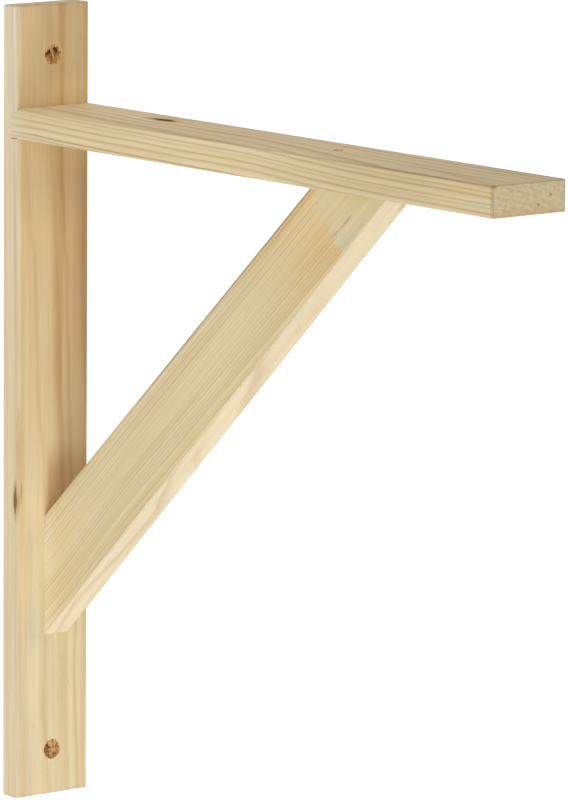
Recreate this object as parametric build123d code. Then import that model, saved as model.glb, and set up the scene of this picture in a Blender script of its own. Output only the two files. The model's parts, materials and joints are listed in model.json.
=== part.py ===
# Wooden wall bracket for a shelf: an upright board against the wall, an arm let into
# its front that carries the shelf, and a diagonal brace on edge under the arm.
#
# Frame: the origin is on the wall plane, midway between the two wall screw holes.
# +X points out of the wall along the arm, +Z points up. All sizes are in millimetres.

import os

from build123d import *

# Upright, the board that lies against the wall
upright_height = 300.0
upright_thickness = 9.0
board_width = 33.0  # of the upright and the arm, which are flush at both sides

# Wall screw holes, plain and right through the upright
wall_hole_diameter = 7.5
wall_hole_above_bottom = 17.0  # from the upright's bottom end to the lower hole
wall_hole_below_top = 19.0  # from the upright's top end to the upper hole

# Arm, the flat board that carries the shelf
arm_reach = 271.0  # from the upright's front to the arm's free end
arm_thickness = 11.5
arm_below_top = 38.0  # from the upright's top end down to the arm's top face
tongue_length = 4.0  # how deep the arm's tongue is let into the upright's front
tongue_shoulder = 1.5  # how far the tongue's top lies below the arm's top

# Brace, a strip on edge that narrows a little from its toe to its head
brace_thickness = 11.5
brace_side_shift = 2.25  # how far the brace sits off the middle, towards +Y
toe_above_bottom = 61.5  # from the upright's bottom end to the brace's lowest corner
toe_seat = 46.0  # length of the mitred face on the upright
head_reach = 202.0  # from the upright's front to the brace's outermost corner
head_seat = 43.0  # length of the mitred face under the arm

# Softened corners of the planed boards
long_edge_radius = 0.7  # along the grain
end_edge_radius = 0.35  # round the sawn ends

# Countersunk screws, driven from the wall side into the arm and the brace's toe
screw_diameter = 3.5
screw_length = 30.0
screw_head_diameter = 7.0
screw_head_rim = 0.4  # height of the cylindrical rim above the cone
screw_tip_length = 5.0
screw_sunk = 0.3  # how far the heads lie below the wall face
arm_screw_spacing = 16.0  # between the two screws in the arm's end
toe_screw_cover = 9.0  # wood left below the tip of the screw in the brace's toe

# Cross recess in each screw's head
recess_span = 4.2
recess_slot = 0.9
recess_depth = 1.5
recess_taper = 14.0  # degrees by which the recess narrows on each side

# Nail with a small head, driven from the arm's top into the brace's head
nail_diameter = 2.2
nail_length = 35.0
nail_head_diameter = 3.8
nail_head_height = 1.2
nail_head_cone = 1.0  # length of the cone under the head
nail_tip_length = 3.5
nail_sunk = 0.4  # how far the head lies below the arm's top
nail_past_back_corner = 6.0  # from the brace's back corner under the arm

# Levels and planes that the sizes above give
wall_hole_spacing = upright_height - wall_hole_above_bottom - wall_hole_below_top
upright_bottom = -wall_hole_spacing / 2 - wall_hole_above_bottom
upright_top = upright_bottom + upright_height
arm_top = upright_top - arm_below_top
arm_bottom = arm_top - arm_thickness
tongue_end = upright_thickness - tongue_length
toe_bottom = upright_bottom + toe_above_bottom
toe_top = toe_bottom + toe_seat
head_front = upright_thickness + head_reach
head_back = head_front - head_seat
underside_slope = (arm_bottom - toe_bottom) / head_reach
screw_tip_depth = screw_sunk + screw_length - upright_thickness
toe_screw_level = toe_bottom + underside_slope * screw_tip_depth + toe_screw_cover

# Where the wall holes and the fixings sit
wall_hole_places = [Pos(0, 0, -wall_hole_spacing / 2), Pos(0, 0, wall_hole_spacing / 2)]
arm_screw_near_place = Pos(0, -arm_screw_spacing / 2, arm_bottom + arm_thickness / 2)
arm_screw_far_place = Pos(0, arm_screw_spacing / 2, arm_bottom + arm_thickness / 2)
toe_screw_place = Pos(0, brace_side_shift, toe_screw_level)
nail_place = Pos(head_back + nail_past_back_corner, brace_side_shift, arm_top)


def board(length, thickness, soft_ends):
    """A planed board from the origin along X, with soft long edges and softened ends."""
    block = Box(length, board_width, thickness, align=(Align.MIN, Align.CENTER, Align.MIN))
    block = fillet(block.edges().filter_by(Axis.X), long_edge_radius)
    ends = block.faces().filter_by(Axis.X).sort_by(Axis.X)[-soft_ends:]
    return fillet(ends.edges(), end_edge_radius)


def across_board(length, height):
    """A block as wide as the boards, from the origin along X and up."""
    return Box(length, board_width, height, align=(Align.MIN, Align.CENTER, Align.MIN))


def rod_along_x(diameter, length):
    """A round rod from the origin along +X."""
    rod = Cylinder(diameter / 2, length, align=(Align.CENTER, Align.CENTER, Align.MIN))
    return Rot(0, 90, 0) * rod


def screw_blank():
    """A screw along +X with its head's top at the origin, before the recess is cut."""
    head = screw_head_diameter / 2
    shank = screw_diameter / 2
    outline = Polyline(
        (0, 0),
        (0, head),
        (screw_head_rim, head),
        (screw_head_rim + head - shank, shank),
        (screw_length - screw_tip_length, shank),
        (screw_length, 0),
        close=True,
    )
    return revolve(make_face(outline), Axis.X)


def screw():
    """A finished screw, sunk below the wall face: two tapered slots cross in its head."""
    slots = Rectangle(recess_span, recess_slot) + Rectangle(recess_slot, recess_span)
    recess = extrude(Plane.YZ * slots, recess_depth, taper=recess_taper)
    return Pos(screw_sunk, 0, 0) * (screw_blank() - recess)


def screw_bore():
    """The hole that a screw makes, with the open mouth above its sunk head."""
    return Pos(screw_sunk, 0, 0) * screw_blank() + rod_along_x(screw_head_diameter, screw_sunk)


def nail():
    """A nail that points down from the origin, its head sunk below the arm's top."""
    head = nail_head_diameter / 2
    shank = nail_diameter / 2
    outline = Polyline(
        (0, 0),
        (head, 0),
        (head, -nail_head_height),
        (shank, -nail_head_height - nail_head_cone),
        (shank, nail_tip_length - nail_length),
        (0, -nail_length),
        close=True,
    )
    return Pos(0, 0, -nail_sunk) * revolve(make_face(Plane.XZ * outline), Axis.Z)


def nail_bore():
    """The hole that the nail makes, with the open mouth above its sunk head."""
    mouth = Cylinder(nail_head_diameter / 2, nail_sunk, align=(Align.CENTER, Align.CENTER, Align.MAX))
    return nail() + mouth


def make_upright():
    """The upright, with the housing across its front and the holes for five screws."""
    standing = Plane((upright_thickness, 0, upright_bottom), x_dir=(0, 0, 1), z_dir=(-1, 0, 0))
    body = standing * board(upright_height, upright_thickness, soft_ends=2)
    body -= Pos(tongue_end, 0, arm_bottom) * across_board(tongue_length, arm_thickness - tongue_shoulder)
    for place in wall_hole_places:
        body -= place * rod_along_x(wall_hole_diameter, upright_thickness)
    for place in (arm_screw_near_place, arm_screw_far_place, toe_screw_place):
        body -= place * screw_bore()
    return body


def make_arm():
    """The arm with its tongue, two screw holes in that end and the nail's hole."""
    body = Pos(tongue_end, 0, arm_bottom) * board(tongue_length + arm_reach, arm_thickness, soft_ends=1)
    body -= Pos(tongue_end, 0, arm_top - tongue_shoulder) * across_board(tongue_length, tongue_shoulder)
    for place in (arm_screw_near_place, arm_screw_far_place):
        body -= place * screw_bore()
    return body - nail_place * nail_bore()


def runs_aslant(edge):
    """Whether an edge runs along the brace's grain, which is neither level nor upright."""
    direction = edge.tangent_at(0)
    return abs(direction.X * direction.Z) > 0.1


def make_brace():
    """The brace, mitred to lie flat on the upright and under the arm."""
    outline = Polyline(
        (upright_thickness, toe_bottom),
        (head_front, arm_bottom),
        (head_back, arm_bottom),
        (upright_thickness, toe_top),
        close=True,
    )
    strip = extrude(make_face(Plane.XZ * outline), brace_thickness / 2, both=True)
    strip = fillet(strip.edges().filter_by(runs_aslant), long_edge_radius)
    body = Pos(0, brace_side_shift, 0) * strip
    return body - toe_screw_place * screw_bore() - nail_place * nail_bore()


pieces = {
    "upright": make_upright(),
    "arm": make_arm(),
    "brace": make_brace(),
    "arm_screw_near": arm_screw_near_place * screw(),
    "arm_screw_far": arm_screw_far_place * screw(),
    "brace_toe_screw": toe_screw_place * screw(),
    "brace_head_nail": nail_place * nail(),
}

os.makedirs("parts", exist_ok=True)
for name, piece in pieces.items():
    export_step(piece, f"parts/{name}.step")
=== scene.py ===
"""Wooden wall bracket for a shelf: bare planed pine, its screws and its nail, in a plain studio.

All places are in metres in the part's own frame: +X out of the wall, +Z up.
The pine materials work in millimetres on each board's own axes: X along the grain,
Y across the width, Z through the board.
"""

import json
import math

import bpy
import numpy as np
from mathutils import Matrix, Vector


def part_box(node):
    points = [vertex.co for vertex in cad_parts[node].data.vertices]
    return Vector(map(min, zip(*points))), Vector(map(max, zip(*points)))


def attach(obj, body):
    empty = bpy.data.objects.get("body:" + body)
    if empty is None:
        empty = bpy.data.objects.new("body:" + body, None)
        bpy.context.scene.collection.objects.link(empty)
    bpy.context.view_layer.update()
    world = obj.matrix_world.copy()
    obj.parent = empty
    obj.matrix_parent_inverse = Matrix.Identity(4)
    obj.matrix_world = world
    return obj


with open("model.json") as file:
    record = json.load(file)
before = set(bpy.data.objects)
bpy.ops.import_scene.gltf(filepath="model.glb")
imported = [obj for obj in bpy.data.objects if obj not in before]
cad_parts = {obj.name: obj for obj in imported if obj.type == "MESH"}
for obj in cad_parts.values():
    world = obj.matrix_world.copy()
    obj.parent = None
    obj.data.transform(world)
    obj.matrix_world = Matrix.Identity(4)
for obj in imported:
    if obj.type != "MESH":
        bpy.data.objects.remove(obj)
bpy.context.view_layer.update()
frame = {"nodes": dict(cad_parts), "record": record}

MM = 0.001

# Places read from the frame, in millimetres
UPRIGHT_LOW, UPRIGHT_HIGH = (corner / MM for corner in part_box("upright"))
ARM_LOW, ARM_HIGH = (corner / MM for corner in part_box("arm"))
BRACE_LOW, BRACE_HIGH = (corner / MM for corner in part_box("brace"))
NAIL_LOW, NAIL_HIGH = (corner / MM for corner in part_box("brace_head_nail"))
WALL_SCREWS = next(m for m in frame["record"]["mounts"] if m["name"] == "wall_screws")["dims"]
WALL_HOLE_RADIUS = WALL_SCREWS["hole_r_mm"]
WALL_HOLE_LEVEL = WALL_SCREWS["spacing_y_mm"] / 2
NAIL_X = (NAIL_LOW.x + NAIL_HIGH.x) / 2
NAIL_Y = (NAIL_LOW.y + NAIL_HIGH.y) / 2

# The brace's mitred seats on the upright and under the arm
TOE_SEAT = 46.0
HEAD_SEAT = 43.0
TOE_TOP = BRACE_LOW.z + TOE_SEAT
HEAD_BACK = BRACE_HIGH.x - HEAD_SEAT

# How each board's axes turn from the part's frame, about Y
UPRIGHT_TURN = math.radians(90)
ARM_TURN = 0.0
BRACE_TURN = math.radians(42.5)


def colour(red, green, blue):
    """A display colour from 0 to 255 as a linear colour with alpha."""
    def linear(channel):
        share = channel / 255
        return share / 12.92 if share <= 0.04045 else ((share + 0.055) / 1.055) ** 2.4
    return (linear(red), linear(green), linear(blue), 1.0)


# Colours of bare pine and its fixings, as they look in plain light
PALE_SAPWOOD = colour(246, 232, 205)
CREAM_SAPWOOD = colour(240, 221, 180)
TAN_HEARTWOOD = colour(231, 203, 155)
LATE_WOOD = colour(196, 160, 106)
OLIVE_LATE_WOOD = colour(186, 158, 108)
KNOT_HEART = colour(106, 78, 42)
KNOT_GREY = colour(140, 108, 62)
KNOT_RIM = colour(158, 118, 72)
DRILLED_WALL = colour(246, 210, 152)
CHARRED_WALL = colour(222, 174, 108)
# Scorch, and painted shade deep in the holes
SCORCHED_AND_SHADED_WALL = colour(104, 62, 14)
SAWN_END = colour(222, 203, 166)
DASH_BROWN = colour(200, 156, 100)
DARK_FIBRE = colour(190, 146, 88)
PALE_FIBRE = colour(222, 184, 126)
YELLOW_ZINC = colour(188, 180, 152)
GREY_ZINC = colour(160, 158, 148)
RUST_STAIN = colour(176, 132, 76)
DARK_RUST = colour(92, 56, 30)
BROWN_RUST = colour(146, 92, 48)
BARE_STEEL = colour(128, 118, 104)


# The places of a mix node's sockets that work on colours
MIX_COLOUR_INPUTS = (0, 6, 7)
MIX_COLOUR_OUTPUT = 2


class Nodes:
    """Adds nodes to one tree. What one method gives, the next one can take."""

    def __init__(self, tree):
        self.tree = tree

    def add(self, kind, **settings):
        node = self.tree.nodes.new(kind)
        for name, value in settings.items():
            setattr(node, name, value)
        return node

    def feed(self, socket, value):
        """Links another node's socket, or sets a plain value."""
        if isinstance(value, bpy.types.NodeSocket):
            self.tree.links.new(value, socket)
        else:
            socket.default_value = value

    def feed_names(self, sockets, **values):
        """Feeds several sockets by name; underscores stand for spaces."""
        for name, value in values.items():
            self.feed(sockets[name.replace("_", " ")], value)

    def feed_first(self, node, *values):
        """Feeds a node's first inputs in order, and gives its first output."""
        for socket, value in zip(node.inputs, values):
            self.feed(socket, value)
        return node.outputs[0]

    def math(self, operation, *values, clamp=False):
        return self.feed_first(self.add("ShaderNodeMath", operation=operation, use_clamp=clamp), *values)

    def product(self, *values):
        """Several numbers multiplied; of masks, it is 1 where they all are."""
        result = values[0]
        for value in values[1:]:
            result = self.math("MULTIPLY", result, value)
        return result

    def outside(self, mask):
        """1 where a mask is 0."""
        return self.math("SUBTRACT", 1.0, mask)

    def vector(self, operation, *values):
        """A vector operation; length, distance and dot product give a number."""
        node = self.add("ShaderNodeVectorMath", operation=operation)
        self.feed_first(node, *values)
        gives_number = operation in ("LENGTH", "DISTANCE", "DOT_PRODUCT")
        return node.outputs["Value" if gives_number else "Vector"]

    def split(self, vector):
        node = self.add("ShaderNodeSeparateXYZ")
        self.feed_first(node, vector)
        return node.outputs

    def join(self, x, y, z):
        return self.feed_first(self.add("ShaderNodeCombineXYZ"), x, y, z)

    def noise(self, place, stretch, detail=2.0, roughness=0.5):
        """Noise from 0 to 1 on a place; the stretch is in waves for each unit along each axis."""
        node = self.add("ShaderNodeTexNoise", noise_dimensions="3D")
        stretched = self.vector("MULTIPLY", place, stretch)
        self.feed_names(node.inputs, Vector=stretched, Scale=1.0, Detail=detail, Roughness=roughness)
        return node.outputs[0]

    def noise_along(self, value, stretch, detail=1.0):
        """Noise from 0 to 1 on a single number."""
        node = self.add("ShaderNodeTexNoise", noise_dimensions="1D")
        self.feed_names(node.inputs, W=self.product(value, stretch), Scale=1.0, Detail=detail)
        return node.outputs[0]

    def scatter(self, value):
        """A random number from 0 to 1 for each whole number."""
        node = self.add("ShaderNodeTexWhiteNoise", noise_dimensions="1D")
        self.feed(node.inputs["W"], value)
        return node.outputs["Value"]

    def smooth(self, value, low, high, to_low=0.0, to_high=1.0):
        """A smooth step from to_low at low to to_high at high."""
        node = self.add("ShaderNodeMapRange", interpolation_type="SMOOTHSTEP")
        return self.feed_first(node, value, low, high, to_low, to_high)

    def within(self, value, low, high, soft):
        """1 between two values, with soft ends outside them."""
        return self.product(self.smooth(value, low - soft, low), self.smooth(value, high + soft, high))

    def spread(self, value, to_low, to_high):
        """A number from 0 to 1 spread over another range."""
        return self.feed_first(self.add("ShaderNodeMapRange"), value, 0.0, 1.0, to_low, to_high)

    def curve(self, value, stops):
        """A number put through straight stretches between (place, height) stops."""
        node = self.add("ShaderNodeValToRGB")
        points = node.color_ramp.elements
        while len(points) < len(stops):
            points.new(0.5)
        for point, (place, height) in zip(points, stops):
            point.position = place
            point.color = (height, height, height, 1.0)
        return self.feed_first(node, value)

    def blend(self, share, first, second):
        """Two colours mixed by a share from 0 to 1."""
        node = self.add("ShaderNodeMix", data_type="RGBA", clamp_factor=True)
        for place, given in zip(MIX_COLOUR_INPUTS, (share, first, second)):
            self.feed(node.inputs[place], given)
        return node.outputs[MIX_COLOUR_OUTPUT]

    def scale(self, vector, level):
        """A vector or colour times a number."""
        node = self.add("ShaderNodeVectorMath", operation="SCALE")
        self.feed_names(node.inputs, Vector=vector, Scale=level)
        return node.outputs["Vector"]

    def tinted(self, shade, share, factors, *masks):
        """A colour that is multiplied by three factors, by a share and only where all the masks are."""
        toned = self.vector("MULTIPLY", shade, factors)
        return self.blend(self.product(share, *masks), shade, toned)

    def group(self, tree, **values):
        """A node group with its inputs fed by name."""
        node = self.add("ShaderNodeGroup", node_tree=tree)
        self.feed_names(node.inputs, **values)
        return node.outputs

    def place_in_mm(self):
        """The place on the surface, in the part's own frame."""
        return self.scale(self.add("ShaderNodeTexCoord").outputs["Object"], 1 / MM)

    def relief(self, height, strength):
        """A normal that leans with a height in millimetres."""
        bump = self.add("ShaderNodeBump")
        self.feed_names(bump.inputs, Strength=strength, Distance=MM, Height=height)
        return bump.outputs[0]

    def seen(self):
        """1 on rays that show a thing to the camera, straight or in a mirror, and 0 on rays of light."""
        path = self.add("ShaderNodeLightPath").outputs
        straight = self.math("MAXIMUM", path["Is Camera Ray"], path["Is Glossy Ray"])
        return self.math("MAXIMUM", straight, path["Is Transmission Ray"])


def new_material(name):
    """A material; gives itself, its nodes and the inputs of its surface."""
    material = bpy.data.materials.new(name)
    material.use_nodes = True
    surface = material.node_tree.nodes["Principled BSDF"]
    return material, Nodes(material.node_tree), surface.inputs


def new_group(name, vectors="", colours="", values="", results="", colour_results=""):
    """An empty shader group; gives its tree, its nodes, the inputs to read and the outputs to feed.

    Each kind of socket comes as names parted by commas; the last two kinds are its outputs.
    """
    tree = bpy.data.node_groups.new(name, "ShaderNodeTree")
    kinds = (
        ("INPUT", "NodeSocketVector", vectors),
        ("INPUT", "NodeSocketColor", colours),
        ("INPUT", "NodeSocketFloat", values),
        ("OUTPUT", "NodeSocketFloat", results),
        ("OUTPUT", "NodeSocketColor", colour_results),
    )
    for way, kind, names in kinds:
        for socket_name in filter(None, names.split(", ")):
            tree.interface.new_socket(name=socket_name, in_out=way, socket_type=kind)
    nodes = Nodes(tree)
    given = nodes.add("NodeGroupInput").outputs
    result = nodes.add("NodeGroupOutput").inputs
    return tree, nodes, given, result


# How dark a growth ring is through its width, as (place, darkness)
RING_PROFILE = [(0.0, 0.3), (0.1, 0.05), (0.38, 0.0), (0.62, 0.25), (0.8, 0.85), (0.9, 1.0), (1.0, 0.3)]


def growth_rings_group():
    """Growth rings: the distance from a slanting pith, wandering along the grain and cut into rings.

    Each ring starts pale, darkens slowly through its width and ends at a dark line.
    """
    tree, nodes, given, result = new_group(
        "growth_rings", vectors="Position, Pith, Drift", values="Ring Width, Wander, Bend, Seed",
        results="Late Wood, Ring Tone",
    )
    along = nodes.split(given["Position"])["X"]
    pith = nodes.vector("MULTIPLY_ADD", nodes.join(along, along, along), given["Drift"], given["Pith"])
    away = nodes.vector("MULTIPLY", nodes.vector("SUBTRACT", given["Position"], pith), (0.0, 1.0, 1.0))
    shifted = nodes.vector("ADD", given["Position"], nodes.join(given["Seed"], given["Seed"], 0.0))
    slow = nodes.noise(shifted, (0.009, 0.02, 0.02), detail=1.0)
    quick = nodes.noise(shifted, (0.035, 0.1, 0.1), detail=2.0)
    wave = nodes.math("ADD", nodes.spread(slow, -2.0, 2.0), nodes.spread(quick, -0.6, 0.6))
    distance = nodes.math("MULTIPLY_ADD", wave, given["Wander"], nodes.vector("LENGTH", away))
    distance = nodes.math("ADD", distance, given["Bend"])
    # The rings differ in width
    uneven = nodes.noise_along(nodes.math("ADD", distance, given["Seed"]), 0.21)
    even_phase = nodes.math("DIVIDE", distance, given["Ring Width"])
    phase = nodes.math("ADD", even_phase, nodes.spread(uneven, -0.7, 0.7))
    late = nodes.curve(nodes.math("FRACT", phase), RING_PROFILE)
    # Each ring has its own strength and tone
    ring = nodes.math("ADD", nodes.math("FLOOR", phase), given["Seed"])
    strength = nodes.spread(nodes.scatter(ring), 0.3, 1.0)
    tone = nodes.scatter(nodes.product(ring, 1.7))
    nodes.feed_names(result, Late_Wood=nodes.product(late, strength), Ring_Tone=tone)
    return tree


def fibres_group():
    """Fibres along the grain: broad soft streaks, fine lines, short dark resin canals and clouds."""
    tree, nodes, given, result = new_group(
        "fibres", vectors="Position", values="Seed", results="Streak, Fine, Canal, Cloud"
    )
    shifted = nodes.vector("ADD", given["Position"], nodes.join(0.0, given["Seed"], given["Seed"]))
    nodes.feed_names(
        result,
        Streak=nodes.noise(shifted, (0.011, 0.36, 0.36), detail=3.0, roughness=0.6),
        Fine=nodes.noise(shifted, (0.05, 2.2, 2.2), detail=2.0, roughness=0.6),
        Canal=nodes.smooth(nodes.noise(shifted, (0.2, 3.1, 3.1), detail=0.0), 0.76, 0.84),
        Cloud=nodes.noise(shifted, (0.016, 0.05, 0.05), detail=2.0),
    )
    return tree


def stripe_group():
    """A stripe along the grain: it wavers, fades in on its low side and ends crisply on its high side."""
    tree, nodes, given, result = new_group(
        "stripe", values="Along, Across, Centre, Width, Waver, Seed", results="Mask"
    )
    wave = nodes.noise_along(nodes.math("ADD", given["Along"], given["Seed"]), 0.014, detail=2.0)
    moved = nodes.math("SUBTRACT", given["Across"], given["Centre"])
    moved = nodes.math("MULTIPLY_ADD", nodes.spread(wave, -1.0, 1.0), given["Waver"], moved)
    share = nodes.math("DIVIDE", moved, given["Width"])
    rise = nodes.smooth(share, -1.0, 0.0)
    fall = nodes.smooth(share, 0.22, 0.0)
    patchy = nodes.noise_along(nodes.math("SUBTRACT", given["Along"], given["Seed"]), 0.02, detail=2.0)
    nodes.feed(result["Mask"], nodes.product(rise, fall, nodes.smooth(patchy, 0.2, 0.65, 0.35, 1.0)))
    return tree


def knot_group():
    """A spindle-shaped knot along the grain: a dark heart, a rim, and a pull on the rings round it."""
    tree, nodes, given, result = new_group(
        "knot", vectors="Position, Centre", values="Half Length, Half Width", results="Heart, Rim, Pull"
    )
    away = nodes.split(nodes.vector("SUBTRACT", given["Position"], given["Centre"]))
    lengthwise = nodes.math("DIVIDE", nodes.math("ABSOLUTE", away["X"]), given["Half Length"])
    sideways = nodes.vector("LENGTH", nodes.join(0.0, away["Y"], away["Z"]))
    sideways = nodes.math("DIVIDE", sideways, given["Half Width"])
    reach = nodes.math("ADD", nodes.math("POWER", lengthwise, 1.5), sideways)
    ragged = nodes.noise(given["Position"], (0.5, 1.6, 1.6), detail=2.0)
    reach = nodes.math("ADD", reach, nodes.spread(ragged, -0.35, 0.35))
    nodes.feed_names(
        result, Heart=nodes.smooth(reach, 1.05, 0.6), Rim=nodes.smooth(reach, 2.1, 0.9),
        Pull=nodes.smooth(reach, 6.0, 0.8),
    )
    return tree


def arris_group():
    """Where two faces of a board meet: 1 on the softened corner and 0 away from it.

    Of the distances to the sides, the broad faces and the sawn end, the second smallest
    is near zero only by a corner.
    """
    tree, nodes, given, result = new_group(
        "arris", vectors="Position", values="Side, Through, From End, Width", results="Mask"
    )
    uneven_reach = nodes.spread(nodes.noise(given["Position"], (0.06, 0.5, 0.5), detail=2.0), 0.45, 1.75)
    width = nodes.product(given["Width"], uneven_reach)
    nearest = nodes.math("MINIMUM", given["Side"], given["Through"])
    farther = nodes.math("MAXIMUM", given["Side"], given["Through"])
    second = nodes.math("MAXIMUM", nearest, nodes.math("MINIMUM", farther, given["From End"]))
    nodes.feed(result["Mask"], nodes.smooth(nodes.math("DIVIDE", second, width), 1.0, 0.45))
    return tree


# How much each kind of grain darkens and brightens the wood
TONE_RANGES = {
    "Ring Tone": (0.965, 1.03), "Streak": (0.86, 1.14), "Fine": (0.925, 1.075), "Cloud": (0.93, 1.07),
}


def pine_group():
    """Bare pine from its rings, fibres, arrises and sawn ends: a colour, a roughness and a height in mm."""
    tree, nodes, given, result = new_group(
        "bare_pine", vectors="Position", colours="Early Wood, Late Colour, End Colour",
        values="Late Wood, Ring Tone, Streak, Fine, Canal, Cloud, Arris, End, Contrast",
        results="Roughness, Height", colour_results="Colour",
    )
    late = nodes.math("MULTIPLY", given["Late Wood"], given["Contrast"], clamp=True)
    wood = nodes.blend(late, given["Early Wood"], given["Late Colour"])
    levels = [nodes.spread(given[name], low, high) for name, (low, high) in TONE_RANGES.items()]
    wood = nodes.scale(wood, nodes.product(*levels))
    # A streak is not only darker but also warmer than the wood beside it, and so is a resin canal
    wood = nodes.tinted(wood, 1.0, (1.03, 0.985, 0.9), nodes.smooth(given["Streak"], 0.62, 0.35))
    wood = nodes.tinted(wood, 0.4, (0.62, 0.5, 0.38), given["Canal"])
    # The sawn end: faint rings, pinkish blotches, dark and pale fibre ends, and the saw's fine lines
    pores = nodes.noise(given["Position"], (0.2, 0.5, 0.62), detail=3.0, roughness=0.7)
    saw = nodes.noise(given["Position"], (0.2, 0.35, 3.2), detail=1.0)
    blotches = nodes.noise(given["Position"], (0.2, 0.28, 0.4), detail=3.0, roughness=0.6)
    end_wood = nodes.tinted(given["End Colour"], 0.3, (0.66, 0.58, 0.46), given["Late Wood"])
    end_wood = nodes.tinted(end_wood, 1.0, (0.99, 0.96, 0.95), nodes.smooth(blotches, 0.4, 0.62))
    dark_ends = nodes.vector("MULTIPLY", end_wood, (0.90, 0.88, 0.84))
    pale_ends = nodes.vector("MULTIPLY", end_wood, (1.05, 1.07, 1.10))
    end_wood = nodes.blend(nodes.smooth(pores, 0.3, 0.66), dark_ends, pale_ends)
    end_wood = nodes.scale(end_wood, nodes.spread(saw, 0.93, 1.07))
    wood = nodes.blend(given["End"], wood, end_wood)
    # The softened corner is painted a little darker and greyer, as shade on the rounded edge
    nodes.feed(result["Colour"], nodes.tinted(wood, 0.75, (0.86, 0.85, 0.84), given["Arris"]))
    # Late wood and rubbed corners are smoother than the rest, and a sawn end is rougher
    roughness = nodes.spread(given["Fine"], 0.52, 0.72)
    for mask, change in ((late, -0.08), (given["End"], 0.16), (given["Arris"], -0.06)):
        roughness = nodes.math("MULTIPLY_ADD", mask, change, roughness)
    nodes.feed(result["Roughness"], roughness)
    # Late wood stands proud, resin canals are dents, and a sawn end is uneven
    sawn = nodes.math("ADD", nodes.spread(pores, -0.12, 0.12), nodes.spread(saw, -0.1, 0.1))
    height = nodes.spread(given["Fine"], -0.04, 0.04)
    for mask, change in ((late, 0.035), (given["Canal"], -0.05), (given["End"], sawn)):
        height = nodes.math("MULTIPLY_ADD", mask, change, height)
    nodes.feed(result["Height"], height)
    return tree


def drilled_group():
    """The wall of a drilled hole and the pale raised rim round its mouth, from the distance to its axis."""
    tree, nodes, given, result = new_group(
        "drilled_hole", vectors="Position", values="Off Axis, Radius", results="Wall, Rim, Tear"
    )
    beyond = nodes.math("SUBTRACT", given["Off Axis"], given["Radius"])
    ragged = nodes.noise(given["Position"], (0.35, 0.9, 0.9), detail=2.0)
    ragged_beyond = nodes.math("SUBTRACT", beyond, nodes.spread(ragged, -1.2, 1.6))
    nodes.feed_names(
        result, Wall=nodes.smooth(beyond, 0.3, 0.06), Rim=nodes.smooth(ragged_beyond, 1.4, 0.2),
        Tear=nodes.noise(given["Position"], (0.5, 0.9, 0.9), detail=3.0, roughness=0.6),
    )
    return tree


RINGS = growth_rings_group()
FIBRES = fibres_group()
STRIPE = stripe_group()
KNOT = knot_group()
ARRIS = arris_group()
PINE = pine_group()
DRILLED = drilled_group()


PLANED_SHINE = 0.12
# How far a softened corner's smoother finish and painted shade reach, in millimetres
RUBBED_AND_SHADED_WIDTH = 0.75


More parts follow.
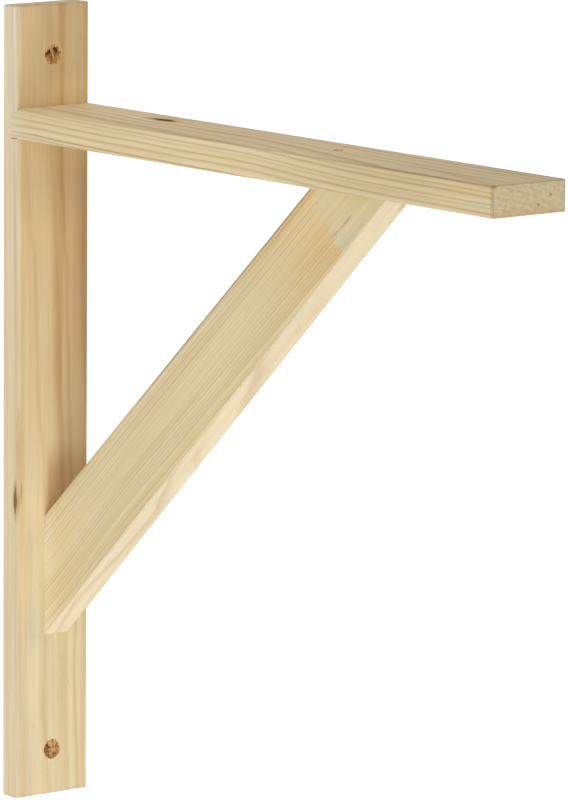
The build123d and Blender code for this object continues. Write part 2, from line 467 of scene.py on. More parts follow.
class Pine:
    """One board's pine material while it is being made. Masks and colours are added to it in turn."""

    def __init__(self, name, turn, seed):
        self.material, self.nodes, self.surface = new_material(name)
        self.seed = seed
        self.shine = PLANED_SHINE
        self.frame_place = self.nodes.place_in_mm()
        mapping = self.nodes.add("ShaderNodeMapping", vector_type="POINT")
        self.nodes.feed_names(mapping.inputs, Vector=self.frame_place, Rotation=(0.0, turn, 0.0))
        self.place = mapping.outputs[0]
        self.axes = self.nodes.split(self.place)
        grain = (math.cos(turn), 0.0, math.sin(turn))
        normal = self.nodes.add("ShaderNodeTexCoord").outputs["Normal"]
        facing = self.nodes.vector("DOT_PRODUCT", normal, grain)
        self.end = self.nodes.smooth(self.nodes.math("ABSOLUTE", facing), 0.75, 0.95)

    def knot(self, centre, half_length, half_width):
        return self.nodes.group(
            KNOT, Position=self.place, Centre=centre, Half_Length=half_length, Half_Width=half_width
        )

    def stripe(self, across, centre, width, waver, seed):
        outputs = self.nodes.group(
            STRIPE, Along=self.axes["X"], Across=across, Centre=centre, Width=width, Waver=waver, Seed=seed
        )
        return outputs["Mask"]

    def grow(self, early, late, contrast, depths, **ring_values):
        """Lays the rings, the fibres and the softened corners, which are smoother and carry painted shade.

        The depths tell how far a place lies inside the sides, the broad faces and the sawn ends.
        """
        nodes = self.nodes
        side, through, from_end = depths
        rings = nodes.group(RINGS, Position=self.place, Seed=self.seed, **ring_values)
        fibres = nodes.group(FIBRES, Position=self.place, Seed=self.seed)
        self.arris = nodes.group(
            ARRIS, Side=side, Through=through, From_End=from_end, Width=RUBBED_AND_SHADED_WIDTH, Position=self.place
        )["Mask"]
        grain = {socket.name: socket for socket in (*rings, *fibres)}
        pine = nodes.group(
            PINE, Position=self.place, Early_Wood=early, Late_Colour=late, End_Colour=SAWN_END,
            Arris=self.arris, End=self.end, Contrast=contrast, **grain,
        )
        self.colour = pine["Colour"]
        self.roughness = pine["Roughness"]
        self.height = pine["Height"]

    def tint(self, share, factors, *masks):
        """Multiplies the colour by three factors, by a share and only where all the masks are."""
        self.colour = self.nodes.tinted(self.colour, share, factors, *masks)

    def paint(self, share, paint_colour, mask):
        """Covers the colour with another, by a share and only where the mask is."""
        self.colour = self.nodes.blend(self.nodes.product(share, mask), self.colour, paint_colour)

    def spot(self, share, paint_colour, centre, half_length, half_width):
        """Paints a small spindle along the grain."""
        self.paint(share, paint_colour, self.knot(centre, half_length, half_width)["Heart"])

    def knot_wood(self, knot, heart):
        """Paints a knot's rim and heart; the heart stands a little proud and has no shine."""
        self.paint(0.45, KNOT_RIM, knot["Rim"])
        self.paint(0.92, heart, knot["Heart"])
        self.height = self.nodes.math("MULTIPLY_ADD", knot["Heart"], 0.05, self.height)
        self.shine = self.nodes.product(self.nodes.outside(knot["Heart"]), self.shine)

    def drill(self, off_axis, radius):
        """Browns and tears the wall of a hole and lightens its raised rim."""
        nodes = self.nodes
        hole = nodes.group(DRILLED, Position=self.place, Off_Axis=off_axis, Radius=radius)
        self.tint(0.5, (1.07, 1.06, 1.05), hole["Rim"])
        torn = nodes.blend(nodes.smooth(hole["Tear"], 0.36, 0.66), CHARRED_WALL, DRILLED_WALL)
        self.paint(0.96, torn, hole["Wall"])
        rough_wall = nodes.product(hole["Wall"], nodes.spread(hole["Tear"], -0.5, 0.5))
        self.height = nodes.math("ADD", self.height, rough_wall)
        self.height = nodes.math("MULTIPLY_ADD", hole["Rim"], 0.06, self.height)
        self.roughness = nodes.math("MULTIPLY_ADD", hole["Wall"], 0.2, self.roughness)

    def finish(self):
        """Links the colour, roughness, shine and relief to the surface."""
        self.nodes.feed_names(
            self.surface, Base_Color=self.colour, Roughness=self.roughness, Specular_IOR_Level=self.shine,
            Normal=self.nodes.relief(self.height, strength=0.6),
        )
        return self.material


def face_distance(nodes, value, low, high):
    """How deep a place lies inside the nearer of two parallel faces."""
    return nodes.math("MINIMUM", nodes.math("SUBTRACT", value, low), nodes.math("SUBTRACT", high, value))


def off_axis(nodes, across, up, centre_across, centre_up):
    """The distance of a place from a hole's axis."""
    moved_across = nodes.math("SUBTRACT", across, centre_across)
    moved_up = nodes.math("SUBTRACT", up, centre_up)
    return nodes.vector("LENGTH", nodes.join(moved_across, moved_up, 0.0))


def slant_distance(pine, start, end):
    """How deep a place lies inside a slanted face through two corners, each (out of the wall, up).

    The wood lies left of the way from start to end.
    """
    out, up = end[0] - start[0], end[1] - start[1]
    length = math.hypot(out, up)
    inward = (-up / length, 0.0, out / length)
    start_reach = inward[0] * start[0] + inward[2] * start[1]
    reach = pine.nodes.vector("DOT_PRODUCT", pine.frame_place, inward)
    return pine.nodes.math("SUBTRACT", reach, start_reach)


# Scorched places on the walls of the holes, also painted shade deep in them: centre, half length and half
# width
SCORCHED_AND_SHADED_SPOTS = [
    ((WALL_HOLE_LEVEL + 1.1, 3.6, -2.0), 2.0, 1.9),
    ((WALL_HOLE_LEVEL + 1.5, 3.4, -5.8), 1.7, 1.6),
    ((1.7 - WALL_HOLE_LEVEL, 3.3, -1.8), 1.3, 1.3),
]


def upright_pine():
    """A golden flat-sawn front with a few broad streaks, and paler sides with two faint stripes."""
    pine = Pine("upright_pine", UPRIGHT_TURN, seed=31.0)
    nodes, tint = pine.nodes, pine.tint
    smooth, within = nodes.smooth, nodes.within
    along, across, through = pine.axes
    near_edge, far_edge = UPRIGHT_LOW.y, UPRIGHT_HIGH.y
    front = smooth(through, 0.6 - UPRIGHT_HIGH.x, 0.1 - UPRIGHT_HIGH.x)
    beside = nodes.outside(front)
    # Heartwood shows on the front, deeper in tone towards the top, but not by the near corner
    upward = smooth(along, -60.0, 60.0)
    front_tone = nodes.blend(upward, CREAM_SAPWOOD, TAN_HEARTWOOD)
    by_corner = smooth(across, near_edge + 2.2, near_edge + 0.8)
    by_corner = nodes.product(by_corner, nodes.spread(upward, 0.2, 0.75))
    front_tone = nodes.blend(by_corner, front_tone, PALE_SAPWOOD)
    early = nodes.blend(front, PALE_SAPWOOD, front_tone)
    # The small knot on the near front corner pulls the rings a little
    knot = pine.knot((-34.8, near_edge, 1.1 - UPRIGHT_HIGH.x), half_length=6.4, half_width=1.1)
    depths = (
        face_distance(nodes, across, near_edge, far_edge),
        face_distance(nodes, through, -UPRIGHT_HIGH.x, -UPRIGHT_LOW.x),
        face_distance(nodes, along, UPRIGHT_LOW.z, UPRIGHT_HIGH.z),
    )
    pine.grow(
        early, LATE_WOOD, contrast=0.4, depths=depths, Pith=(0.0, -22.0, 44.0), Drift=(0.0, -0.01, 0.012),
        Ring_Width=3.1, Wander=0.9, Bend=nodes.product(knot["Pull"], 0.5),
    )
    # Streaks on the front: a brown one right of the middle, warm ones by both corners and by the knot
    brown = pine.stripe(across, centre=4.6, width=6.5, waver=2.6, seed=7.0)
    tint(smooth(along, -120.0, 20.0, 0.3, 0.8), (0.82, 0.71, 0.57), front, brown)
    orange = pine.stripe(across, centre=15.2, width=2.6, waver=1.6, seed=53.0)
    tint(0.7, (0.89, 0.76, 0.60), front, orange)
    peach = pine.stripe(across, centre=-13.4, width=2.2, waver=1.0, seed=91.0)
    downward = smooth(along, 110.0, 40.0, 0.0, 0.4)
    tint(downward, (0.95, 0.84, 0.72), front, peach, smooth(along, -58.0, -38.0))
    by_knot = within(along, -34.0, -5.0, 12.0)
    tint(0.7, (0.93, 0.80, 0.66), front, by_knot, smooth(across, -13.6, -15.2))
    # Painted shade beside the toe, offsetting the light the brace throws there, and painted shade under the
    # arm
    toe_height = within(along, BRACE_LOW.z + 3.5, TOE_TOP - 8.5, 15.0)
    left_of_toe = within(across, BRACE_LOW.y - 6.0, BRACE_LOW.y + 1.5, 4.0)
    tint(1.0, (0.85, 0.90, 0.96), front, toe_height, left_of_toe)
    shade_under_arm = within(along, ARM_LOW.z - 13.5, ARM_LOW.z + 2.5, 26.0)
    tint(0.9, (0.88, 0.90, 0.93), front, shade_under_arm)
    # Painted shade of the brace and the arm above the brace, over greyer wood, deepest towards the far edge
    shade_above_brace = within(along, TOE_TOP + 21.5, ARM_LOW.z - 15.5, 16.0)
    tint(1.0, (0.895, 0.835, 0.80), front, shade_above_brace, smooth(across, -2.0, 3.6))
    far_shade_share = smooth(along, -90.0, -20.0, 0.1, 0.6)
    tint(far_shade_share, (0.92, 0.90, 0.88), front, smooth(across, 4.5, 5.5))
    deepest = within(along, 30.0, 75.0, 28.0)
    tint(0.9, (0.83, 0.80, 0.75), front, deepest, smooth(across, 7.0, 15.0))
    # Painted light just above the arm, offsetting the arm's shade there, and slightly darker left of the
    # brace and at the foot
    lit_above_arm = within(along, ARM_HIGH.z - 1.0, ARM_HIGH.z + 4.0, 12.0)
    tint(1.0, (1.13, 1.13, 1.11), front, lit_above_arm, smooth(across, -8.0, 2.0))
    left = within(along, -10.0, 50.0, 20.0)
    tint(1.0, (0.95, 0.975, 0.985), front, left, smooth(across, 0.0, -4.0))
    foot = smooth(along, BRACE_LOW.z + 3.5, BRACE_LOW.z - 12.5)
    tint(1.0, (0.972, 0.975, 0.975), front, foot)
    # Painted shade in the corner above the brace's toe and along the far edge
    shade_above_toe = within(along, TOE_TOP + 1.5, TOE_TOP + 13.5, 16.0)
    over_brace = smooth(across, BRACE_LOW.y - 1.0, BRACE_LOW.y + 3.0)
    tint(1.0, (0.77, 0.66, 0.57), front, shade_above_toe, over_brace)
    middle_height = within(along, 10.0, 60.0, 25.0)
    shaded_far_edge = smooth(across, far_edge - 2.1, far_edge - 0.3)
    tint(1.0, (0.74, 0.79, 0.84), front, middle_height, shaded_far_edge)
    # Beside the front: two faint stripes, and a yellower tone by the front and towards the bottom
    thin = pine.stripe(through, centre=-2.0, width=0.7, waver=0.35, seed=64.0)
    tint(0.7, (0.94, 0.86, 0.76), beside, thin)
    middle = pine.stripe(through, centre=-4.3, width=1.3, waver=0.4, seed=18.0)
    tint(0.7, (0.95, 0.955, 0.94), beside, middle)
    tint(0.7, (1.0, 0.96, 0.88), beside, smooth(through, -6.2, -8.4))
    tint(smooth(along, 60.0, -100.0, 0.25, 1.0), (0.975, 0.96, 0.87), beside)
    tint(1.0, (0.99, 0.98, 0.93), beside, within(along, -20.0, 80.0, 30.0))
    tint(1.0, (0.965, 0.965, 0.98), beside, smooth(along, -40.0, -90.0))
    # Painted shade on the far edge's softened corner
    tint(0.7, (0.76, 0.72, 0.68), pine.arris, smooth(across, far_edge - 1.5, far_edge - 0.3))
    # The knot, with a thin streak beside it on the front
    pine.knot_wood(knot, KNOT_GREY)
    pine.spot(0.5, KNOT_RIM, (-31.5, near_edge + 2.0, -UPRIGHT_HIGH.x), half_length=4.6, half_width=0.45)
    for level in (-WALL_HOLE_LEVEL, WALL_HOLE_LEVEL):
        pine.drill(off_axis(nodes, across, along, 0.0, level), WALL_HOLE_RADIUS)
    # Scorched spots on the hole walls, also painted shade deep in the holes
    for centre, half_length, half_width in SCORCHED_AND_SHADED_SPOTS:
        pine.spot(0.85, SCORCHED_AND_SHADED_WALL, centre, half_length, half_width)
    return pine.finish()


def arm_pine():
    """Wavy late-wood lines on the sides, a greyer top with long lines, and a softly mottled sawn end."""
    pine = Pine("arm_pine", ARM_TURN, seed=12.0)
    nodes, smooth, tint = pine.nodes, pine.nodes.smooth, pine.tint
    along, across, up = pine.axes
    from_end = nodes.math("SUBTRACT", ARM_HIGH.x, along)
    # The lines dip over the brace's head and by the knot, and are fainter near the wall
    knot = pine.knot((68.8, 6.2, ARM_HIGH.z), half_length=7.8, half_width=2.8)
    bend = nodes.product(smooth(along, 130.0, 205.0), 1.6)
    bend = nodes.math("MULTIPLY_ADD", knot["Pull"], 1.2, bend)
    contrast = smooth(along, 5.0, 22.0, 0.45, 0.82)
    depths = (
        face_distance(nodes, across, ARM_LOW.y, ARM_HIGH.y),
        face_distance(nodes, up, ARM_LOW.z, ARM_HIGH.z),
        from_end,
    )
    pine.grow(
        CREAM_SAPWOOD, OLIVE_LATE_WOOD, contrast=contrast, depths=depths, Pith=(0.0, -27.0, 44.0),
        Drift=(0.0, 0.01, -0.02), Ring_Width=1.95, Wander=0.55, Bend=bend,
    )
    # The top is greyer and pinker than the sides, least near the wall, where it is painted lighter to offset
    # the upright's shade
    top = smooth(up, ARM_HIGH.z - 0.7, ARM_HIGH.z - 0.15)
    tint(smooth(along, 70.0, 10.0), (1.09, 1.09, 1.06), top)
    tint(smooth(along, 20.0, 110.0, 0.2, 1.0), (0.94, 0.875, 0.84), top)
    tint(0.5, (0.94, 0.93, 0.94), top, smooth(across, 2.0, 15.0))
    tint(1.0, (0.92, 0.955, 0.93), top, smooth(along, 150.0, 235.0))
    tint(1.0, (0.94, 0.95, 0.945), top, smooth(along, 225.0, 260.0))
    # Its far strip is paler, but darker by the free end
    far_strip = nodes.product(top, smooth(across, ARM_HIGH.y - 5.0, ARM_HIGH.y - 2.0))
    tint(0.8, (0.95, 1.01, 1.10), far_strip)
    tint(1.0, (0.80, 0.82, 0.87), far_strip, smooth(along, 215.0, 262.0))
    # The near side is duller towards the free end and paler where the tongue lies in the upright
    near_side = smooth(across, ARM_LOW.y + 0.9, ARM_LOW.y + 0.2)
    tint(1.0, (0.88, 0.875, 0.86), near_side, smooth(along, 130.0, 215.0))
    let_in = smooth(along, UPRIGHT_HIGH.x + 4.0, UPRIGHT_HIGH.x - 1.5)
    tint(1.0, (0.99, 1.03, 1.12), near_side, let_in)
    # The joint with the upright shows as a thin uneven line
    joint = smooth(along, UPRIGHT_HIGH.x + 1.6, UPRIGHT_HIGH.x + 0.5)
    uneven = smooth(nodes.noise_along(across, 0.35, detail=2.0), 0.4, 0.6, 0.4, 1.0)
    tint(0.8, (0.62, 0.52, 0.42), top, joint, uneven)
    # A darker band slants over the top to the free end's near corner
    slanted = nodes.math("MULTIPLY_ADD", along, 0.24, across)
    band = pine.stripe(nodes.product(slanted, -1.0), centre=-50.6, width=7.0, waver=0.9, seed=33.0)
    tint(0.9, (0.88, 0.80, 0.73), top, band, smooth(along, 190.0, 240.0))
    # The knot with honey-coloured grain beside it and a brown trail, and the rust round the nail
    honey = pine.knot((71.0, 10.0, ARM_HIGH.z), half_length=16.0, half_width=3.0)
    tint(0.6, (1.04, 0.95, 0.78), honey["Rim"])
    pine.spot(0.5, KNOT_RIM, (60.6, 5.2, ARM_HIGH.z), half_length=4.6, half_width=1.3)
    pine.knot_wood(knot, KNOT_HEART)
    halo = pine.knot((NAIL_X + 3.2, NAIL_Y + 0.4, ARM_HIGH.z), half_length=4.6, half_width=2.6)
    tint(0.85, (1.15, 1.06, 0.88), halo["Rim"])
    pine.spot(0.7, RUST_STAIN, (NAIL_X + 0.8, NAIL_Y - 0.2, ARM_HIGH.z), half_length=2.2, half_width=2.2)
    # The end's near corner: a dark line on the side and a pale one on the end, painted shade and a painted
    # highlight of the softened corner, a bruise, and a warm foot
    shaded_end_line = smooth(from_end, 1.5, 0.8)
    tint(0.7, (0.82, 0.74, 0.62), shaded_end_line, smooth(across, ARM_LOW.y + 0.5, ARM_LOW.y + 0.1))
    tint(0.6, (1.05, 1.04, 1.07), pine.end, smooth(across, ARM_LOW.y + 2.7, ARM_LOW.y + 0.9))
    tint(0.7, (1.0, 0.88, 0.74), pine.end, smooth(up, ARM_LOW.z + 3.5, ARM_LOW.z + 0.7))
    bruise = pine.knot((ARM_HIGH.x - 0.4, ARM_LOW.y + 0.9, ARM_HIGH.z - 0.6), half_length=3.0, half_width=1.0)
    tint(0.8, (0.72, 0.62, 0.52), bruise["Heart"])
    for across_place, level in ((9.7, 108.0), (4.3, 104.9)):
        pine.spot(0.6, KNOT_RIM, (ARM_HIGH.x, across_place, level), half_length=3.0, half_width=0.75)
    # Painted shade on the far softened corner
    shaded_far_corner = smooth(across, ARM_HIGH.y - 2.0, ARM_HIGH.y - 0.5)
    tint(0.7, (0.74, 0.72, 0.70), pine.arris, shaded_far_corner)
    return pine.finish()


# Short brown dashes on the brace's near side: centre, half length and share of paint
BRACE_DASHES = [
    ((197.4, BRACE_LOW.y, -59.9), 5.6, 0.65),
    ((189.4, BRACE_LOW.y, -59.5), 3.4, 0.45),
]
# Both ends of the brace are seated, so no place counts as near a sawn end
FAR_FROM_ENDS = 1000.0


def brace_pine():
    """Fine close rings on the sides, soft bands on the underside, and a paler head."""
    pine = Pine("brace_pine", BRACE_TURN, seed=77.0)
    nodes, smooth, tint = pine.nodes, pine.nodes.smooth, pine.tint
    along, across, up = pine.axes
    side = face_distance(nodes, across, BRACE_LOW.y, BRACE_HIGH.y)
    # The underside and the back run at slightly different slants, so each has its own distance
    under = slant_distance(pine, (BRACE_LOW.x, BRACE_LOW.z), (BRACE_HIGH.x, ARM_LOW.z))
    back = slant_distance(pine, (HEAD_BACK, ARM_LOW.z), (BRACE_LOW.x, TOE_TOP))
    # The underside is smooth pale sapwood; the sides' head is paler, beyond a honey-coloured zone
    pale = smooth(under, 0.75, 0.25)
    beside = nodes.outside(pale)
    zone_end, head_start = 186.2, 189.0
    ragged = nodes.spread(nodes.noise(pine.place, (0.012, 0.75, 0.75), detail=2.0), -5.0, 5.0)
    ragged_along = nodes.math("ADD", along, ragged)
    head = nodes.product(smooth(ragged_along, zone_end, head_start), beside)
    zone = nodes.product(smooth(ragged_along, head_start, zone_end), beside)
    pine.grow(
        CREAM_SAPWOOD, LATE_WOOD, contrast=nodes.math("MULTIPLY_ADD", head, -0.34, 0.46),
        depths=(side, nodes.math("MINIMUM", under, back), FAR_FROM_ENDS), Pith=(0.0, 9.0, 16.0),
        Drift=(0.0, 0.0, -0.02), Ring_Width=1.45, Wander=0.5,
        Bend=nodes.product(smooth(along, 40.0, -50.0), -2.5),
    )
    tint(0.8, (0.95, 0.89, 0.78), zone, smooth(ragged_along, 110.0, 184.0))
    deepest = smooth(ragged_along, 150.0, 187.0)
    tint(0.9, (0.96, 0.92, 0.82), zone, deepest, smooth(up, -48.0, -62.0))
    tint(1.0, (0.88, 0.92, 0.955), head)
    streak = pine.stripe(up, centre=-40.6, width=2.6, waver=0.8, seed=21.0)
    tint(0.7, (0.93, 0.80, 0.58), streak, smooth(along, 110.0, 175.0))
    for centre, half_length, share in BRACE_DASHES:
        pine.spot(share, DASH_BROWN, centre, half_length, half_width=0.55)
    tint(1.0, (0.955, 0.965, 0.96), beside)
    tint(1.0, (0.965, 1.0, 1.10), pale)
    tint(1.0, (0.965, 0.965, 0.98), pale, smooth(along, 110.0, 200.0))
    # Painted shade on the back corners, most where they run free between the boards and on the near side
    shaded_back_corner = nodes.product(smooth(side, 1.3, 0.6), smooth(back, 1.3, 0.6))
    nearer = smooth(across, 6.0, -1.0, 0.3, 1.0)
    tint(smooth(along, 30.0, 100.0, 0.12, 1.0), (0.54, 0.56, 0.62), shaded_back_corner, nearer)
    # The glue has bleached the toe where it sits on the upright
    out = nodes.split(pine.frame_place)["X"]
    tint(1.0, (1.01, 1.07, 1.20), beside, smooth(out, BRACE_LOW.x + 10.0, BRACE_LOW.x + 1.0))
    return pine.finish()


def plated_steel():
    """Zinc-plated steel with a faint yellow passivation in patches, and fine scratches."""
    material, nodes, surface = new_material("zinc_plated_steel")
    place = nodes.place_in_mm()
    patches = nodes.noise(place, (1.3, 1.3, 1.3), detail=3.0)
    scratches = nodes.noise(place, (0.8, 6.0, 0.8), detail=2.0, roughness=0.6)
    zinc = nodes.blend(nodes.smooth(patches, 0.35, 0.7), YELLOW_ZINC, GREY_ZINC)
    nodes.feed_names(
        surface, Base_Color=nodes.scale(zinc, nodes.spread(scratches, 0.85, 1.12)), Metallic=1.0,
        Roughness=nodes.spread(patches, 0.24, 0.5),
        Normal=nodes.relief(nodes.spread(scratches, -0.02, 0.02), strength=0.3),
    )
    return material


def rusted_steel():
    """A dull nail head under a thin brown rust, with bare grey spots."""
    material, nodes, surface = new_material("rusted_steel")
    crust = nodes.noise(nodes.place_in_mm(), (2.0, 2.0, 2.0), detail=4.0, roughness=0.65)
    bare = nodes.smooth(crust, 0.6, 0.72)
    rust = nodes.blend(nodes.smooth(crust, 0.3, 0.6), DARK_RUST, BROWN_RUST)
    nodes.feed_names(
        surface, Base_Color=nodes.blend(bare, rust, BARE_STEEL), Metallic=nodes.product(bare, 0.8),
        Roughness=nodes.spread(bare, 0.85, 0.45),
        Normal=nodes.relief(nodes.spread(crust, -0.08, 0.08), strength=0.6),
    )
    return material


# Scorched places among the torn fibres, also painted shade deep in the holes: centre in the part's own frame,
# and radius
SCORCHED_AND_SHADED_FIBRES = [
    ((1.1, 2.9, WALL_HOLE_LEVEL + 1.1), 2.3),
    ((1.3, 3.0, 1.7 - WALL_HOLE_LEVEL), 1.7),
]


def torn_fibre_wood():
    """Loose fibres inside a drilled hole: pale where they are thin, brown where the drill scorched them, with
    painted shade in a few deep places.
    """
    material, nodes, surface = new_material("torn_fibres")
    place = nodes.place_in_mm()
    lines = nodes.noise(place, (1.5, 3.5, 0.5), detail=2.0, roughness=0.6)
    fibre = nodes.blend(nodes.smooth(lines, 0.35, 0.65), DARK_FIBRE, PALE_FIBRE)
    # The upper hole's fibres are a little brighter, painted light that offsets the deeper shade in the upper
    # hole
    fibre = nodes.scale(fibre, nodes.smooth(nodes.split(place)["Z"], -50.0, 50.0, 1.0, 1.16))
    for centre, radius in SCORCHED_AND_SHADED_FIBRES:
        scorched_and_shaded = nodes.smooth(nodes.vector("DISTANCE", place, centre), radius, 0.6 * radius)
        fibre = nodes.blend(nodes.product(scorched_and_shaded, 0.9), fibre, SCORCHED_AND_SHADED_WALL)
    nodes.feed_names(
        surface, Base_Color=fibre, Roughness=nodes.spread(lines, 0.6, 0.85),
        Normal=nodes.relief(nodes.spread(lines, -0.06, 0.06), strength=0.5),
    )
    return material


TORN = torn_fibre_wood()
STEEL = plated_steel()
finishes = {
    "upright": upright_pine(),
    "arm": arm_pine(),
    "brace": brace_pine(),
    "arm_screw_near": STEEL,
    "arm_screw_far": STEEL,
    "brace_toe_screw": STEEL,
    "brace_head_nail": rusted_steel(),
}
for node_name, finish in finishes.items():
    for material_slot in frame["nodes"][node_name].material_slots:
        material_slot.material = finish


# A torn fibre: its points along and around, its thinning, its turn in radians, and its
# thickness as a share of its width
STRAND_STEPS = 14
STRAND_SIDES = 8
STRAND_TAPER = 0.7
STRAND_TURN = 0.8
STRAND_FLATNESS = 0.4


def splinter(root, middle, tip, width, thickness):
    """One torn fibre as vertices and faces.

    The centre line is a curve through root, middle and tip: (1-t)^2 root + 2t(1-t) bend + t^2 tip,
    with the bend chosen so that t = 1/2 gives middle. The section is an ellipse whose size falls
    as a power of (1 - t^2) towards the blunt tip and whose long side turns a little on the way.
    """
    steps, around, blunt_tip = STRAND_STEPS, STRAND_SIDES, 0.02
    root, middle, tip = (np.asarray(point, float) for point in (root, middle, tip))
    bend = 2 * middle - (root + tip) / 2
    t = np.linspace(0.0, 1.0, steps)[:, None]
    line = (1 - t) ** 2 * root + 2 * t * (1 - t) * bend + t ** 2 * tip
    direction = 2 * (1 - t) * (bend - root) + 2 * t * (tip - bend)
    direction /= np.linalg.norm(direction, axis=1, keepdims=True)
    across = np.cross(direction, (1.0, 0.0, 0.0))
    across /= np.linalg.norm(across, axis=1, keepdims=True)
    up = np.cross(direction, across)
    size = np.maximum((1 - t ** 2) ** STRAND_TAPER, blunt_tip)
    angle = np.linspace(0.0, 2 * math.pi, around, endpoint=False)[None, :, None]
    twist = (STRAND_TURN * t)[:, :, None]
    first = across[:, None, :] * np.cos(angle + twist) * width / 2
    second = up[:, None, :] * np.sin(angle + twist) * thickness / 2
    rings = line[:, None, :] + (first + second) * size[:, None, :]
    vertices = np.concatenate([rings.reshape(-1, 3), root[None], tip[None]])
    ring, place = np.meshgrid(np.arange(steps - 1), np.arange(around), indexing="ij")
    here = (ring * around + place).ravel()
    beside = (ring * around + (place + 1) % around).ravel()
    quads = np.stack([here, beside, beside + around, here + around], axis=1).tolist()
    edge = np.arange(around)
    start = np.stack([np.full(around, steps * around), (edge + 1) % around, edge], axis=1).tolist()
    last = (steps - 1) * around
    close = np.stack([np.full(around, steps * around + 1), last + edge, last + (edge + 1) % around], axis=1)
    return vertices, quads + start + close.tolist()


def fibre_tuft(name, level, strands):
    """A hole's torn fibres as one piece. A strand's places are (out from the wall, across, up) in mm."""
    def place(out, across, up):
        return (out * MM, across * MM, (level + up) * MM)

    vertices, faces, count = [], [], 0
    for root, middle, tip, width in strands:
        thickness = STRAND_FLATNESS * width
        points, quads = splinter(place(*root), place(*middle), place(*tip), width * MM, thickness * MM)
        vertices.append(points)
        faces.extend([[corner + count for corner in face] for face in quads])
        count += len(points)
    mesh = bpy.data.meshes.new(name)
    mesh.from_pydata(np.concatenate(vertices).tolist(), [], faces)
    mesh.polygons.foreach_set("use_smooth", np.ones(len(mesh.polygons), bool))
    mesh.materials.append(TORN)
    mesh.update()
    piece = bpy.data.objects.new(name, mesh)
    bpy.context.scene.collection.objects.link(piece)
    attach(piece, "root")


def on_wall(out, degrees, inward=-0.2):
    """A place on a hole's wall, a little way into the wood unless inward says otherwise."""
    angle = math.radians(degrees)
    radius = WALL_HOLE_RADIUS - inward
    return (out, radius * math.cos(angle), radius * math.sin(angle))


# Each strand: its root, middle and tip, then its width
TOP_STRANDS = [
    (on_wall(8.0, 105), (7.6, 0.8, -0.1), on_wall(8.2, -64), 1.25),
    (on_wall(8.5, 130), (8.5, -0.4, 3.1), on_wall(8.4, 66, 0.4), 1.3),
    (on_wall(7.4, -25), (7.2, 2.9, -1.1), (7.2, 2.3, -0.5), 1.1),
    (on_wall(6.0, -75), (5.9, 0.6, -2.2), (5.8, 0.2, -0.8), 1.9),
    (on_wall(8.3, -84), (8.2, 0.2, -3.2), (8.2, 0.0, -2.7), 0.9),
    (on_wall(5.5, -100), (5.7, -0.1, -2.1), (5.5, 0.3, -0.2), 3.0),
    (on_wall(7.0, -48), (6.8, 1.8, -1.6), (6.6, 1.6, 0.1), 2.6),
]
BOTTOM_STRANDS = [
    (on_wall(8.0, 98), (8.0, 0.2, 1.9), (7.9, 0.8, 0.4), 2.7),
    (on_wall(7.4, -18), (7.2, 1.7, -0.7), (6.8, -0.6, -0.9), 3.2),
    (on_wall(7.4, -72), (7.3, 0.7, -2.6), (7.1, 0.2, -1.2), 3.0),
    (on_wall(7.6, 50), (7.4, 2.5, 1.5), (7.4, 2.1, 0.2), 2.0),
    (on_wall(7.9, -130), (7.8, -1.5, -2.2), (7.7, -1.0, -1.2), 1.2),
    (on_wall(5.0, -108), (5.3, -0.1, -1.7), (5.2, 0.7, 0.9), 4.2),
    (on_wall(6.5, 78), (6.6, 1.2, 1.6), (6.4, 1.2, -0.2), 3.6),
]


def fringe_strand(step):
    """One strand of the fringe that the drill broke out at the back, round the far half of a hole."""
    degrees = 11 * step - 66
    return (
        on_wall(1.7 - 0.12 * (step % 3), degrees),
        on_wall(1.2, degrees + 3, 0.55),
        on_wall(0.8 + 0.2 * (step % 2), degrees + 6, 1.2 + 0.25 * (step % 3)),
        1.5,
    )


FRINGE = [fringe_strand(step) for step in range(13)]
# How far the short burrs round a mouth reach inward, by their angle; longest at its upper near rim
BURR_REACH = {
    150: 0.7, 128: 1.2, 108: 1.1, 88: 0.8, 62: 0.6, 25: 0.5,
    -12: 0.7, -50: 0.8, -88: 0.6, -125: 0.9, -160: 0.5,
}


def burrs(middle_out, middle_share, tip_out, tip_share, width):
    """A mouth's burrs: how far out their middles and tips lie, and what share of the reach they have."""
    return [
        (on_wall(8.4, angle, -0.4), on_wall(middle_out, angle + 5, middle_share * reach),
         on_wall(tip_out, angle + 11, tip_share * reach), width)
        for angle, reach in BURR_REACH.items()
    ]


# The drill tore the top hole's mouth more than the bottom one's
TOP_BURRS = burrs(middle_out=8.75, middle_share=0.4, tip_out=8.6, tip_share=1.0, width=1.7)
BOTTOM_BURRS = burrs(middle_out=8.7, middle_share=0.2, tip_out=8.5, tip_share=0.5, width=1.5)
fibre_tuft("hole_fibres_top", WALL_HOLE_LEVEL, TOP_STRANDS + TOP_BURRS + FRINGE)
fibre_tuft("hole_fibres_bottom", -WALL_HOLE_LEVEL, BOTTOM_STRANDS + BOTTOM_BURRS + FRINGE)


def photo_camera():
    """Looks from the front left and slightly above; the angles and the aim come from the photo's fit."""
    yaw, pitch, roll = math.radians(38.896), math.radians(9.276), math.radians(0.444)
    aim = Vector((0.0532, 0.0760, 0.0003))
    distance = 2.5367
    forward = Vector((-math.cos(yaw) * math.cos(pitch), math.sin(yaw) * math.cos(pitch), -math.sin(pitch)))
    level_right = Vector((math.sin(yaw), math.cos(yaw), 0.0))
    level_up = level_right.cross(forward)
    right = level_right * math.cos(roll) + level_up * math.sin(roll)
    up = level_up * math.cos(roll) - level_right * math.sin(roll)
    data = bpy.data.cameras.new("photo_camera")
    data.sensor_width = 36.0
    data.lens = 302.56
    data.clip_start = 0.05
    data.clip_end = 60.0
    camera = bpy.data.objects.new("photo_camera", data)
    turn = Matrix((right, up, -forward)).transposed()
    camera.matrix_world = Matrix.Translation(aim - forward * distance) @ turn.to_4x4()
    bpy.context.scene.collection.objects.link(camera)
    bpy.context.scene.camera = camera


photo_camera()


# How bright the floor itself glows for the camera, so that it stays white with a faint shadow
FLOOR_GLOW = 0.72
WHITE = (1.0, 1.0, 1.0, 1.0)


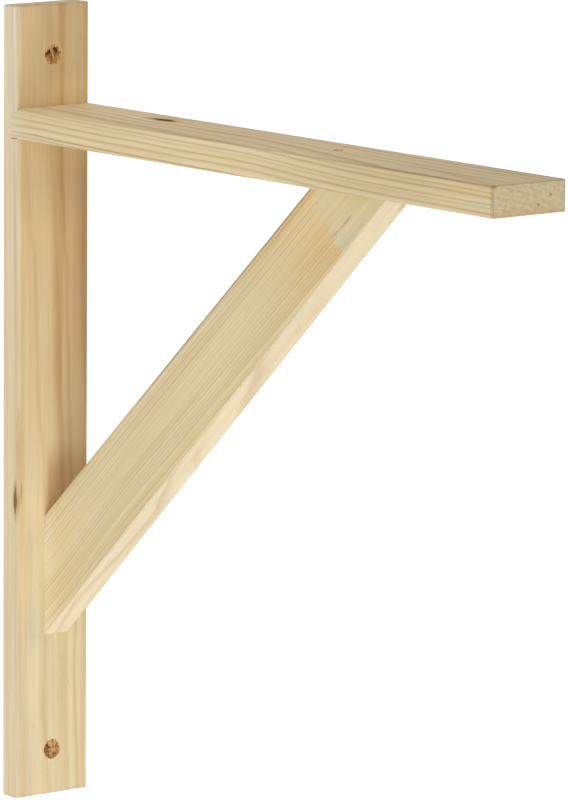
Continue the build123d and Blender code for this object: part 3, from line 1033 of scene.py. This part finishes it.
def glow_when_seen(tree, lit):
    """Adds a white glow that only the camera sees to a lit shader, and makes it the surface."""
    nodes = Nodes(tree)
    white = nodes.add("ShaderNodeEmission")
    nodes.feed_names(white.inputs, Color=WHITE, Strength=FLOOR_GLOW)
    dark = nodes.add("ShaderNodeEmission")
    nodes.feed_names(dark.inputs, Strength=0.0)
    mixer = nodes.add("ShaderNodeMixShader")
    glow = nodes.feed_first(mixer, nodes.seen(), dark.outputs[0], white.outputs[0])
    both = nodes.feed_first(nodes.add("ShaderNodeAddShader"), lit, glow)
    nodes.feed(tree.nodes["Material Output"].inputs["Surface"], both)


def studio_floor():
    """A wide pale floor well below the bracket."""
    half, level = 20.0, -1.15
    mesh = bpy.data.meshes.new("studio_floor")
    corners = [(-half, -half, level), (half, -half, level), (half, half, level), (-half, half, level)]
    mesh.from_pydata(corners, [], [(0, 1, 2, 3)])
    floor = bpy.data.objects.new("studio_floor", mesh)
    bpy.context.scene.collection.objects.link(floor)
    material, nodes, surface = new_material("pale_floor")
    nodes.feed_names(surface, Base_Color=(0.8, 0.8, 0.8, 1.0), Roughness=0.9, Specular_IOR_Level=0.0)
    tree = material.node_tree
    glow_when_seen(tree, tree.nodes["Principled BSDF"].outputs[0])
    mesh.materials.append(material)


def studio_world(level):
    """An even pale surround: white where the camera or a reflection sees it, level elsewhere."""
    world = bpy.data.worlds.new("studio")
    world.use_nodes = True
    bpy.context.scene.world = world
    nodes = Nodes(world.node_tree)
    background = world.node_tree.nodes["Background"].inputs
    nodes.feed_names(background, Color=WHITE, Strength=nodes.spread(nodes.seen(), level, 1.0))


def soft_lamp(name, direction, distance, size, level):
    """A square lamp that faces the bracket; at level 1 a white face turned to it renders white."""
    centre = Vector((0.10, 0.0, 0.0))
    data = bpy.data.lights.new(name, "AREA")
    data.shape = "SQUARE"
    data.size = size
    data.energy = level * (math.pi * distance) ** 2
    lamp = bpy.data.objects.new(name, data)
    away = Vector(direction).normalized()
    lamp.location = centre + away * distance
    lamp.rotation_mode = "QUATERNION"
    lamp.rotation_quaternion = away.to_track_quat("Z", "Y")
    lamp.visible_camera = False
    bpy.context.scene.collection.objects.link(lamp)


# Each lamp: the way to it from the bracket, its distance and width in metres, and its level
LAMPS = {
    "key": ((0.38, -0.25, -0.89), 1.05, 0.65, 0.475),
    "front_fill": ((1.0, -0.45, 0.2), 1.6, 1.0, 0.25),
    "side_fill": ((0.1, -1.0, 0.1), 1.8, 1.2, 0.2),
    "top_fill": ((-0.1, 0.2, 1.0), 2.0, 1.4, 0.095),
    "back_fill": ((-1.0, 0.25, 0.0), 2.0, 1.4, 0.26),
    "far_fill": ((-0.12, 1.0, 0.05), 2.0, 1.4, 0.20),
}
SURROUND_LEVEL = 0.455

studio_floor()
studio_world(SURROUND_LEVEL)
for lamp_name, (direction, distance, width, lamp_level) in LAMPS.items():
    soft_lamp(lamp_name, direction, distance, width, lamp_level)

bpy.context.scene.view_settings.view_transform = "Standard"
